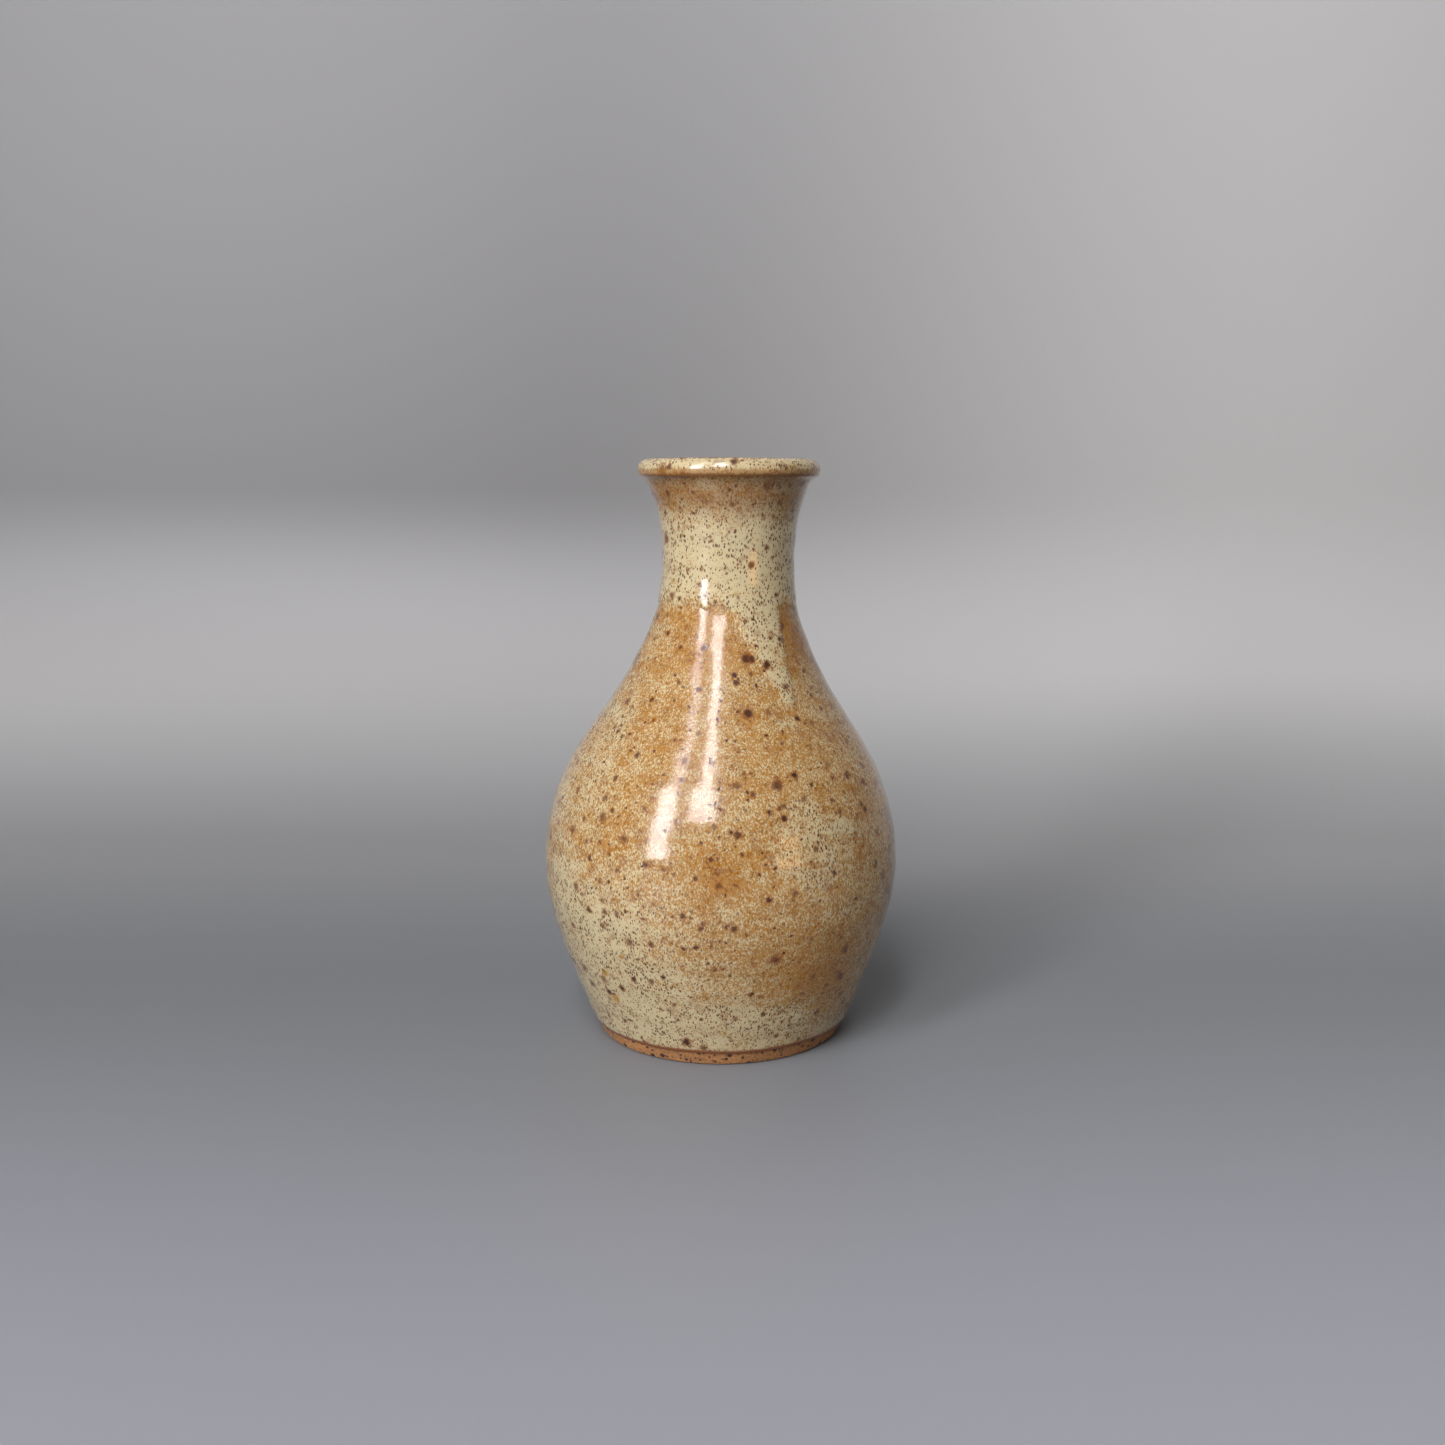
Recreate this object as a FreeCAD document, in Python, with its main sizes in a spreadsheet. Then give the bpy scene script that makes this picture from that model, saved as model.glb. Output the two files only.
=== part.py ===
"""Wheel-thrown stoneware bottle vase: a clay body, two coats of glaze outside and a lining of glaze inside.

Millimetres, +Z up. The origin is the centre of the foot ring, on the surface that the vase stands on.
The pot is round at every height, but its neck was drawn up a little to one side, so each round section
has a centre of its own and the walls are lofted through those sections. The lip and the foot are turned.
"""

import os

import FreeCAD
import Part
import Sketcher

V = FreeCAD.Vector
SHEET = "Dimensions"
TOLERANCE = 1e-3
# The radius of a new circle, until its expression sets it.
STARTING_RADIUS = 10

# The round sections of the wall, from the foot up:
# name: (height, radius over the last coat of glaze, share of the neck's lean, wall with all its glaze).
# The hollow stops above the foot, so the foot has no wall.
SECTIONS = {
    "foot": (0.0, 32.6, 0.0, None),
    "heel": (12.0, 37.6, 0.0, 6.6),
    "bowl": (28.0, 43.4, 0.0, 5.8),
    "belly": (46.0, 46.5, 0.0, 5.4),
    "breast": (62.0, 44.1, 0.08, 5.2),
    "shoulder": (76.0, 37.8, 0.2, 5.2),
    "slope": (88.0, 29.8, 0.36, 5.0),
    "collar": (100.0, 23.0, 0.55, 4.8),
    "neck_base": (112.0, 18.6, 0.8, 4.6),
    "neck": (124.0, 17.1, 0.97, 4.5),
    "neck_top": (135.0, 18.0, 1.0, 4.3),
    "flare": (144.5, 21.5, 1.0, 4.2),
}
# The sections that the second coat of glaze covers.
DIPPED = ("neck_base", "neck", "neck_top", "flare")

# Everything else: name: (value, what it is)
SIZES = {
    "total_height": (150.0, "foot to the top of the lip"),
    "full_lean": (2.1, "how far the neck stands to the +X side of the foot"),
    "first_coat": (0.6, "thickness of the first coat of glaze outside"),
    "second_coat": (0.4, "thickness of the second coat, on the neck and lip"),
    "liner_coat": (0.5, "thickness of the glaze inside"),
    "glaze_line": (2.8, "height where the glaze stops above the bare foot"),
    "neck_line": (113.5, "height where the second coat starts"),
    "liner_line": (138.0, "height inside the throat where the lining stops"),
    "lip_roll": (2.9, "radius of the rolled lip's section"),
    "lip_centre": (20.4, "radius of the circle along the middle of the roll"),
    "crown_flat": (0.4, "width of the level crown on top of the roll"),
    "lip_corner": (145.4, "height of the sharp lower edge of the lip"),
    "lip_spring": (146.2, "height inside where the roll springs from the throat"),
    "floor_height": (7.0, "top of the floor inside, over its glaze"),
    "floor_radius": (28.0, "radius of the floor inside, over its glaze"),
    "floor_fillet": (5.0, "rounding between floor and wall inside, over its glaze"),
    "foot_bevel": (0.5, "bevel round the outer edge of the foot"),
    "ring_inner": (25.5, "inner radius of the foot ring"),
    "ring_draft": (1.2, "how far the recess narrows towards its top"),
    "recess_depth": (1.8, "depth of the turned recess under the floor"),
    "run_past": (3.0, "how far a cutting form runs past what it cuts"),
}
NODES = ("stoneware_body", "first_coat_glaze", "neck_dip_glaze", "liner_glaze")


def cell(name):
    return f"{SHEET}.{name}"


def less(name, *coats):
    """The expression for a cell less some thicknesses."""
    return " - ".join([cell(name), *coats])


def make_sheet(doc):
    """The driving dimensions, one row each: name, value, meaning."""
    sheet = doc.addObject("Spreadsheet::Sheet", SHEET)
    rows = [(name, value, text) for name, (value, text) in SIZES.items()]
    for name, numbers in SECTIONS.items():
        for part, value in zip(("height", "radius", "lean", "wall"), numbers):
            if value is not None:
                rows.append((f"{name}_{part}", value, f"{part} at the {name} section"))
    for row, (name, value, text) in enumerate(rows, 1):
        sheet.set(f"A{row}", name)
        sheet.set(f"B{row}", str(value))
        sheet.set(f"C{row}", text)
        sheet.setAlias(f"B{row}", name)
    doc.recompute()


def new_body(doc, name):
    body = doc.addObject("PartDesign::Body", name)
    body.Label = name
    return body


def new_sketch(body, name, role):
    """A sketch on one of the body's own origin planes."""
    sketch = body.newObject("Sketcher::SketchObject", name)
    plane = next(f for f in body.Origin.OriginFeatures if f.Role == role)
    sketch.AttachmentSupport = [(plane, "")]
    sketch.MapMode = "FlatFace"
    return sketch


def bind(sketch, constraint, name, expression):
    number = sketch.addConstraint(constraint)
    sketch.renameConstraint(number, name)
    sketch.setExpression(f"Constraints.{name}", expression)


def ring_sketch(body, name, radius, height="0", lean="0"):
    """A level circle. Radius, height and lean are expressions."""
    sketch = new_sketch(body, name, "XY_Plane")
    sketch.addGeometry(Part.Circle(V(0, 0, 0), V(0, 0, 1), STARTING_RADIUS))
    sketch.addConstraint(Sketcher.Constraint("Coincident", 0, 3, -1, 1))
    bind(sketch, Sketcher.Constraint("Radius", 0, STARTING_RADIUS), "radius", radius)
    sketch.setExpression("AttachmentOffset.Base.x", lean)
    sketch.setExpression("AttachmentOffset.Base.z", height)
    return sketch


def loft_sections(body, names, radius_of, first=None):
    """A smooth wall through the named sections. radius_of gives each one's radius as an expression."""
    rings = [first] if first else []
    for name in names:
        lean = f"{cell('full_lean')} * {cell(name + '_lean')}"
        height = cell(name + "_height")
        rings.append(ring_sketch(body, f"{body.Name}_{name}", radius_of(name), height, lean))
    wall = body.newObject("PartDesign::AdditiveLoft", body.Name + "_wall")
    wall.Profile = rings[0]
    wall.Sections = rings[1:]


def segment_ends(start, stop, arc):
    """The geometry from start to stop, and which of its two vertices comes first and last."""
    if arc is None:
        return Part.LineSegment(start, stop), (1, 2)
    centre = V(arc["x"][0], arc["y"][0], 0)
    size = arc["radius"][0]
    ahead = arc["turn"] == "left"
    angles = []
    for point in (start, stop) if ahead else (stop, start):
        spoke = point - centre
        angles.append(spoke.getAngle(V(1, 0, 0)) * (1 if spoke.y >= 0 else -1))
    circle = Part.Circle(centre, V(0, 0, 1), size)
    return Part.ArcOfCircle(circle, *angles), (1, 2) if ahead else (2, 1)


def turned_sketch(body, name, points, arcs=None, lean="0"):
    """A closed outline in the XZ plane, with x as the radius and y as the height.

    A coordinate is (starting value, expression); the expression is None where an arc settles it.
    arcs maps the index of an arc's first point to its centre x and y, its radius and its turn.
    """
    arcs = arcs or {}
    sketch = new_sketch(body, name, "XZ_Plane")
    sketch.setExpression("AttachmentOffset.Base.x", lean)
    count = len(points)
    starts = [V(x[0], y[0], 0) for x, y in points]
    ends = []
    for i, start in enumerate(starts):
        piece, order = segment_ends(start, starts[(i + 1) % count], arcs.get(i))
        sketch.addGeometry(piece)
        ends.append(order)
    for i in range(count):
        after = (i + 1) % count
        sketch.addConstraint(Sketcher.Constraint("Coincident", i, ends[i][1], after, ends[after][0]))
    for i, pair in enumerate(points):
        for axis, (value, expression) in zip("XY", pair):
            if expression is not None:
                constraint = Sketcher.Constraint("Distance" + axis, -1, 1, i, ends[i][0], value)
                bind(sketch, constraint, f"point{i}{axis}", expression)
    for i, arc in arcs.items():
        for axis in "XY":
            value, expression = arc[axis.lower()]
            constraint = Sketcher.Constraint("Distance" + axis, -1, 1, i, 3, value)
            bind(sketch, constraint, f"centre{i}{axis}", expression)
        value, expression = arc["radius"]
        bind(sketch, Sketcher.Constraint("Radius", i, value), f"radius{i}", expression)
    return sketch


def turn(body, sketch, kind="Revolution"):
    feature = body.newObject(f"PartDesign::{kind}", sketch.Name + "_turned")
    feature.Profile = sketch
    feature.ReferenceAxis = (sketch, ["V_Axis"])
    feature.Angle = 360


def add_lip(body, coats):
    """The rolled lip, less coats of glaze: a disc on the flare with the roll as its rounded edge."""
    crown = f"{cell('lip_centre')} + {cell('crown_flat')} / 2"
    flare = cell("flare_height")
    points = [
        ((0, "0"), (144, flare)),
        ((21, less("flare_radius", *coats)), (144, flare)),
        ((23, None), (145, cell("lip_corner"))),
        ((21, crown), (150, None)),
        ((0, "0"), (150, less("total_height", *coats))),
    ]
    roll = {
        "x": (20.8, crown),
        "y": (147, less("total_height", cell("lip_roll"))),
        "radius": (2.9, less("lip_roll", *coats)),
        "turn": "left",
    }
    turn(body, turned_sketch(body, body.Name + "_lip", points, {2: roll}, cell("full_lean")))


def add_mouth(body, throat, coats):
    """The hollow inside the lip and up past its top. coats is what the inner roll has taken off it."""
    crown = f"{cell('lip_centre')} - {cell('crown_flat')} / 2"
    flare = cell("flare_height")
    above = f"{cell('total_height')} + {cell('run_past')}"
    points = [
        ((0, "0"), (144, flare)),
        ((17, throat), (144, flare)),
        ((18, None), (146, cell("lip_spring"))),
        ((20.4, crown), (149, None)),
        ((20.4, crown), (153, above)),
        ((0, "0"), (153, above)),
    ]
    roll = {
        "x": (20.4, crown),
        "y": (147, less("total_height", cell("lip_roll"))),
        "radius": (2.6, less("lip_roll", *coats)),
        "turn": "right",
    }
    turn(body, turned_sketch(body, body.Name + "_mouth", points, {2: roll}, cell("full_lean")))


def tight_box(shape):
    """A curved shape's own bounds, where BoundBox would give those of its control points."""
    return shape.optimalBoundingBox(False, False)


def level_edges(shape, height):
    """The names of a shape's edges that lie level at a height."""
    names = []
    for number, edge in enumerate(shape.Edges, 1):
        box = edge.BoundBox
        if max(abs(box.ZMin - height), abs(box.ZMax - height)) < TOLERANCE:
            names.append(f"Edge{number}")
    return names


def dress(doc, body, kind, height, size):
    """A fillet or a chamfer on the level edges at a height, of a size given as an expression."""
    doc.recompute()
    base = body.Tip
    feature = body.newObject(f"PartDesign::{kind}", f"{body.Name}_{kind.lower()}")
    feature.Base = (base, level_edges(base.Shape, height))
    feature.setExpression("Radius" if kind == "Fillet" else "Size", size)


def cut_to_level(doc, body, height):
    """Takes away all of a body that is under a level."""
    past = f"{cell('belly_radius')} + {cell('run_past')}"
    sketch = ring_sketch(body, body.Name + "_level", past)
    pocket = body.newObject("PartDesign::Pocket", body.Name + "_cut_to_level")
    pocket.Profile = sketch
    pocket.setExpression("Length", height)
    pocket.Reversed = True
    doc.recompute()
    lowest = tight_box(body.Shape).ZMin
    assert abs(lowest - pocket.Length.Value) < TOLERANCE, f"{body.Name} was not cut to its level"


def outer_form(doc, name, coats_of):
    """The pot as a solid form, out to the last coat of glaze less coats_of(section)."""
    body = new_body(doc, name)
    loft_sections(body, SECTIONS, lambda section: less(section + "_radius", *coats_of(section)))
    add_lip(body, coats_of("flare"))
    return body


def hollow_form(doc, name, coat, roll_coats):
    """The space inside the pot, grown outwards by a coat of glaze given as an expression."""
    body = new_body(doc, name)
    height = less("floor_height", coat)
    floor = ring_sketch(body, name + "_floor", f"{cell('floor_radius')} + {coat}", height)

    def radius_of(section):
        return f"{less(section + '_radius', cell(section + '_wall'))} + {coat}"

    loft_sections(body, list(SECTIONS)[1:], radius_of, floor)
    add_mouth(body, radius_of("flare"), roll_coats)
    doc.recompute()
    dress(doc, body, "Fillet", tight_box(body.Shape).ZMin, f"{cell('floor_fillet')} + {coat}")
    return body


def clay_coats(section):
    return [cell("first_coat"), *first_coat_coats(section)]


def first_coat_coats(section):
    return [cell("second_coat")] if section in DIPPED else []


def second_coat_coats(section):
    return []


def make_clay_form(doc):
    """The clay as a solid form, with a bevel round its foot and the recess that leaves a ring to stand on."""
    body = outer_form(doc, "clay_form", clay_coats)
    dress(doc, body, "Chamfer", 0.0, cell("foot_bevel"))
    ring, depth = cell("ring_inner"), cell("recess_depth")
    points = [
        ((0, "0"), (0, "0")),
        ((25, ring), (0, "0")),
        ((24, less("ring_inner", cell("ring_draft"))), (2, depth)),
        ((0, "0"), (2, depth)),
    ]
    doc.recompute()
    before = body.Shape.Volume
    turn(body, turned_sketch(body, "foot_recess", points), "Groove")
    doc.recompute()
    assert body.Shape.Volume < before, "the foot recess cut nothing"
    return body


def make_neck_form(doc):
    """The second coat's outer form: the neck and lip, open over the crown's inner half."""
    body = outer_form(doc, "neck_form", second_coat_coats)
    cut_to_level(doc, body, cell("neck_line"))
    crown = ring_sketch(body, "neck_form_crown", cell("lip_centre"), cell("total_height"), cell("full_lean"))
    pocket = body.newObject("PartDesign::Pocket", "neck_form_open_crown")
    pocket.Profile = crown
    pocket.setExpression("Length", cell("second_coat"))
    return body


def cut(doc, name, base, tool):
    result = doc.addObject("Part::Cut", name)
    result.Base = base
    result.Tool = tool
    result.Label = name
    return result


def make_parts(doc):
    clay_form = make_clay_form(doc)
    liner, dip = cell("liner_coat"), cell("second_coat")
    clay_hollow = hollow_form(doc, "clay_hollow", liner, [dip, liner])
    glaze_hollow = hollow_form(doc, "glaze_hollow", "0", [dip])
    glaze_form = outer_form(doc, "glaze_form", first_coat_coats)
    cut_to_level(doc, glaze_form, cell("glaze_line"))
    neck_form = make_neck_form(doc)

    below_liner_line = doc.addObject("Part::Cylinder", "below_liner_line")
    below_liner_line.setExpression("Radius", cell("belly_radius"))
    below_liner_line.setExpression("Height", cell("liner_line"))
    lined_hollow = doc.addObject("Part::Common", "lined_hollow")
    lined_hollow.Base = clay_hollow
    lined_hollow.Tool = below_liner_line

    body = cut(doc, "stoneware_body", clay_form, clay_hollow)
    cut(doc, "liner_glaze", lined_hollow, glaze_hollow)
    around_clay = cut(doc, "glaze_around_clay", glaze_form, body)
    above_liner = cut(doc, "glaze_above_liner", around_clay, lined_hollow)
    cut(doc, "first_coat_glaze", above_liner, glaze_hollow)
    cut(doc, "neck_dip_glaze", neck_form, glaze_form)


def check(doc):
    for item in doc.Objects:
        bad = {"Invalid", "Error"} & set(item.State)
        assert not bad, f"{item.Name} is {bad}"
    for name in NODES:
        shape = doc.getObjectsByLabel(name)[0].Shape
        assert not shape.isNull() and shape.isValid(), f"{name} has no valid shape"
        assert len(shape.Solids) == 1, f"{name} is {len(shape.Solids)} solids"
        box = tight_box(shape)
        spans = f"x {box.XMin:.2f} to {box.XMax:.2f}, z {box.ZMin:.2f} to {box.ZMax:.2f}"
        print(f"{name}: {shape.Volume:.0f} mm3, {spans}")


def main():
    doc = FreeCAD.newDocument("BottleVase")
    make_sheet(doc)
    make_parts(doc)
    doc.recompute()
    check(doc)
    os.makedirs("parts", exist_ok=True)
    for name in NODES:
        doc.getObjectsByLabel(name)[0].Shape.exportStep(f"parts/{name}.step")


main()
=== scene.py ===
"""Glazed stoneware bottle vase: coats of glaze on a thrown clay body, with their materials, on a sweep."""

import math

import bpy
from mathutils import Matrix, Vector
from mathutils.bvhtree import BVHTree


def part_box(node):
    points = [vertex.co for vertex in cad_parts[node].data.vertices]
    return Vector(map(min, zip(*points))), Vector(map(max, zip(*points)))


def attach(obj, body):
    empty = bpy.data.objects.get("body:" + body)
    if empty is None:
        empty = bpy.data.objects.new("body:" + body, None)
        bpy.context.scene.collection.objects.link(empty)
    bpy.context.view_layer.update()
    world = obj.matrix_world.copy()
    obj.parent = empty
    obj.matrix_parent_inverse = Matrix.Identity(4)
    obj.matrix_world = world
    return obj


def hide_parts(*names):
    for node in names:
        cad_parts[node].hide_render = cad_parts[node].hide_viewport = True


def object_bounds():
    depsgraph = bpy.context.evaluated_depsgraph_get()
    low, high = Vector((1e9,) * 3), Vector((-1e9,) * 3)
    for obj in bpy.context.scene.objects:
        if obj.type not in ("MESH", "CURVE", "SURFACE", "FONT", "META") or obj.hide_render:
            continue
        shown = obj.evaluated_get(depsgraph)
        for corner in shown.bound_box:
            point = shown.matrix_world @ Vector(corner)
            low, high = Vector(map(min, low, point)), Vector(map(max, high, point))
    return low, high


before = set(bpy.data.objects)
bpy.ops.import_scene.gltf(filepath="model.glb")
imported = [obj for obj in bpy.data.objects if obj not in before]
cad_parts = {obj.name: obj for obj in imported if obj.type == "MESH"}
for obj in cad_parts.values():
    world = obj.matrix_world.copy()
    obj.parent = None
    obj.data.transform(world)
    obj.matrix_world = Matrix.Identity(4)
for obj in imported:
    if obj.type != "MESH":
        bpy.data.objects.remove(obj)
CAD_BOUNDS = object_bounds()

bl_info = {
    "name": "Thrown Bottle Vase",
    "version": (1, 0, 0),
    "blender": (4, 5, 0),
    "location": "View3D > Sidebar > Vase",
    "description": "Coats of glaze, bare clay and a studio sweep for a thrown bottle vase",
    "category": "Object",
}

MM = 0.001
OUT = Vector((1, 0, 0))
DOWN = Vector((0, 0, -1))
CLAY, FIRST, SECOND, LINER = "stoneware_body", "first_coat_glaze", "neck_dip_glaze", "liner_glaze"

# The kinds of node that the trees use most.
MATH, VECTOR_MATH, MAP_RANGE = "ShaderNodeMath", "ShaderNodeVectorMath", "ShaderNodeMapRange"
MIX, NOISE, COMBINE, SEPARATE = (
    "ShaderNodeMix", "ShaderNodeTexNoise", "ShaderNodeCombineXYZ", "ShaderNodeSeparateXYZ")


def linear(colour):
    """An sRGB hex colour as linear red, green, blue and alpha."""
    channels = [int(colour[i:i + 2], 16) / 255 for i in (1, 3, 5)]
    return [c / 12.92 if c <= 0.04045 else ((c + 0.055) / 1.055) ** 2.4 for c in channels] + [1.0]


def add(tree, kind, inputs=(), out=0, **settings):
    """Adds a node with its settings and links.

    Gives one of its outputs, or the node itself where out is None."""
    node = tree.nodes.new(kind)
    for name, value in settings.items():
        setattr(node, name, value)
    pairs = inputs.items() if isinstance(inputs, dict) else enumerate(inputs)
    for name, value in pairs:
        if isinstance(value, bpy.types.NodeSocket):
            tree.links.new(value, node.inputs[name])
        else:
            node.inputs[name].default_value = value
    return node if out is None or not node.outputs else node.outputs[out]


# ---------------------------------------------------------------- measures taken from the frame

HIGH = CAD_BOUNDS[1]
TOP = HIGH.z
FAR = 2 * HIGH.x
LIP_LOW, LIP_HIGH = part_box(SECOND)
LIP_RADIUS = (LIP_HIGH.x - LIP_LOW.x) / 2
LEAN = (LIP_LOW.x + LIP_HIGH.x) / 2
GLAZE_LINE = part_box(FIRST)[0].z
NECK_LINE = LIP_LOW.z
LINER_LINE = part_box(LINER)[1].z

# The feelers keep this far from a coat's edge, and this far under the sharp corner of the lip.
EDGE_GAP = 0.1 * MM
CORNER_GAP = 1.1 * MM
# They start this many roll radii from the middle of the rolled lip.
FEELER_REACH = 1.5
# Between these heights the axis leans over from the foot's to the mouth's.
LEAN_FROM, LEAN_TO = 58 * MM, 134 * MM

SURFACES = {
    name: BVHTree.FromPolygons([v.co for v in node.data.vertices], [p.vertices for p in node.data.polygons])
    for name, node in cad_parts.items()
}


def touch(name, start, direction):
    """Where a feeler from start along direction first touches a CAD node."""
    point = SURFACES[name].ray_cast(start, direction)[0]
    if point is None:
        raise RuntimeError(f"{name} isn't along {direction[:]} from {start[:]}")
    return point


def across(name, heights, start_x=None):
    """(radius, height) at each height, halfway between the two sides that feelers touch.

    They come in from far outside, or go out from start_x in the hollow."""
    points = []
    for height in heights:
        if start_x is None:
            right = touch(name, Vector((FAR, 0, height)), -OUT)
            left = touch(name, Vector((-FAR, 0, height)), OUT)
        else:
            right = touch(name, Vector((start_x, 0, height)), OUT)
            left = touch(name, Vector((start_x, 0, height)), -OUT)
        points.append(((right.x - left.x) / 2, height))
    return points


def fan(name, centre, reach, degrees, lean=0.0):
    """(radius, height) where feelers touch a rounded edge.

    They go inwards to centre from reach, or outwards from centre if reach is 0."""
    points = []
    for angle in degrees:
        away = Vector((math.cos(math.radians(angle)), 0, math.sin(math.radians(angle))))
        start = Vector((centre[0] + lean, 0, centre[1])) + away * reach
        point = touch(name, start, -away if reach else away)
        points.append((point.x - lean, point.z))
    return points


def steps(start, stop, count):
    return [start + (stop - start) * i / (count - 1) for i in range(count)]


# ---------------------------------------------------------------- sizes and colours that a user would change

class VaseSizes(bpy.types.PropertyGroup):
    """Sizes of the glaze and of the traces that throwing left under it."""

    around: bpy.props.IntProperty(
        name="Facets Around", description="Facets round the pot", default=256, min=32)
    rows: bpy.props.IntProperty(
        name="Rows Up", description="Rows up the face of a coat", default=230, min=40)
    hidden_rows: bpy.props.IntProperty(
        name="Hidden Rows", description="Rows up the side against the clay", default=50, min=10)
    first_depth: bpy.props.FloatProperty(
        name="First Coat", description="Thickness of the first coat", default=0.6 * MM, unit="LENGTH")
    second_depth: bpy.props.FloatProperty(
        name="Second Coat", description="Thickness of the second coat", default=0.4 * MM, unit="LENGTH")
    liner_depth: bpy.props.FloatProperty(
        name="Glaze Inside", description="Thickness of the glaze inside", default=0.5 * MM, unit="LENGTH")
    ring_depth: bpy.props.FloatProperty(
        name="Throwing Rings", description="Height of the spiral ridges left by the fingers",
        default=0.1 * MM, unit="LENGTH")
    ring_pitch: bpy.props.FloatProperty(
        name="Ring Spacing", description="Rise of the spiral in one turn", default=8.5 * MM, unit="LENGTH")
    lump_height: bpy.props.FloatProperty(
        name="Unevenness", description="How far the melted glaze swells and thins",
        default=0.12 * MM, unit="LENGTH")
    lump_size: bpy.props.FloatProperty(
        name="Swell Size", description="Width of a swell in the glaze", default=14 * MM, unit="LENGTH")
    line_wave: bpy.props.FloatProperty(
        name="Glaze Line Wander", description="How far the line above the foot wanders up and down",
        default=0.6 * MM, unit="LENGTH")
    dip_wave: bpy.props.FloatProperty(
        name="Dip Line Wander", description="How far the edge of the second coat wanders",
        default=4.0 * MM, unit="LENGTH")
    run_length: bpy.props.FloatProperty(
        name="Run", description="How far the second coat runs down the shoulder",
        default=31 * MM, unit="LENGTH")
    run_angle: bpy.props.FloatProperty(
        name="Run Place", description="Where round the pot its tip is, from +X",
        default=math.radians(-53), subtype="ANGLE")
    run_slope: bpy.props.FloatProperty(
        name="Run Slope", description="How far round the pot its long slanting edge reaches",
        default=math.radians(34), subtype="ANGLE")
    run_side: bpy.props.FloatProperty(
        name="Run Side", description="How far round the pot its short steep edge reaches",
        default=math.radians(11), subtype="ANGLE")
    lip_roll: bpy.props.FloatProperty(
        name="Lip Roll", description="Radius of the rolled lip's section", default=2.9 * MM, unit="LENGTH")
    lip_drop: bpy.props.FloatProperty(
        name="Lip Corner", description="How far the lip's sharp lower edge is below its top",
        default=4.55 * MM, unit="LENGTH")


class VaseColours(bpy.types.PropertyGroup):
    """Colours of the glaze and the clay."""

    cream: bpy.props.FloatVectorProperty(
        name="Cream", description="Thick oatmeal glaze",
        subtype="COLOR", size=4, default=linear("#C1B28C"))
    caramel: bpy.props.FloatVectorProperty(
        name="Caramel", description="Thin glaze over the clay",
        subtype="COLOR", size=4, default=linear("#A87F48"))
    pinhole: bpy.props.FloatVectorProperty(
        name="Pinhole", description="Brown pinholes in the cream",
        subtype="COLOR", size=4, default=linear("#553620"))
    iron: bpy.props.FloatVectorProperty(
        name="Iron", description="Middle of a melted iron spot",
        subtype="COLOR", size=4, default=linear("#34170C"))
    rust: bpy.props.FloatVectorProperty(
        name="Rust", description="Rim of an iron spot, and the first coat's lower edge",
        subtype="COLOR", size=4, default=linear("#7F4A26"))
    amber: bpy.props.FloatVectorProperty(
        name="Amber", description="Thinnest glaze, over the ridges",
        subtype="COLOR", size=4, default=linear("#98641F"))
    toffee: bpy.props.FloatVectorProperty(
        name="Toffee", description="Glaze that broke thin over an edge",
        subtype="COLOR", size=4, default=linear("#70431A"))
    ochre: bpy.props.FloatVectorProperty(
        name="Ochre", description="Pools in the cream",
        subtype="COLOR", size=4, default=linear("#A57D34"))
    clay: bpy.props.FloatVectorProperty(
        name="Bare Clay", description="Fired stoneware at the foot",
        subtype="COLOR", size=4, default=linear("#AA7644"))
    # Painted shade: the floor behind the pot, towards the bend, is given this darker grey.
    floor_back_painted_shade: bpy.props.FloatVectorProperty(
        name="Floor Behind", description="Board behind the foot",
        subtype="COLOR", size=4, default=linear("#797D80"))
    floor_front: bpy.props.FloatVectorProperty(
        name="Floor in Front", description="Board towards the windows",
        subtype="COLOR", size=4, default=linear("#9EA1A9"))
    backdrop: bpy.props.FloatVectorProperty(
        name="Backdrop", description="Board behind the pot",
        subtype="COLOR", size=4, default=linear("#B6B6B5"))


# ---------------------------------------------------------------- outlines of the coats

def draw_path(name, points, corners=()):
    """A coat's face as a curve, with x the radius and z the height. corners numbers its sharp points."""
    data = bpy.data.curves.new(name, "CURVE")
    data.dimensions = "3D"
    data.resolution_u = 16
    spline = data.splines.new("BEZIER")
    spline.bezier_points.add(len(points) - 1)
    for number, (point, (radius, height)) in enumerate(zip(spline.bezier_points, points)):
        point.co = (radius, 0, height)
        kind = "VECTOR" if number in corners else "AUTO"
        point.handle_left_type = kind
        point.handle_right_type = kind
    path = bpy.data.objects.new(name, data)
    bpy.context.scene.collection.objects.link(path)
    return path


def path_length(points, height):
    """How far along an outline it first passes a height."""
    total = 0.0
    for (r0, z0), (r1, z1) in zip(points, points[1:]):
        reach = math.hypot(r1 - r0, z1 - z0)
        if z1 >= height:
            return total + reach * (height - z0) / (z1 - z0)
        total += reach
    return total


def lip_points(name, sizes, degrees):
    """The sharp lower edge of the lip, and points over its roll."""
    centre = (LIP_RADIUS - sizes.lip_roll, TOP - sizes.lip_roll)
    corner = across(name, [TOP - sizes.lip_drop])
    return corner + fan(name, centre, FEELER_REACH * sizes.lip_roll, degrees, LEAN)


def first_coat_points(sizes):
    wall = across(FIRST, steps(GLAZE_LINE + EDGE_GAP, TOP - sizes.lip_drop - CORNER_GAP, 24))
    lip = lip_points(FIRST, sizes, range(-20, 196, 18))
    throat = across(FIRST, steps(TOP - 5.5 * MM, LINER_LINE + 0.2 * MM, 5), LEAN)
    return wall + lip + throat, [len(wall)]


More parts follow.
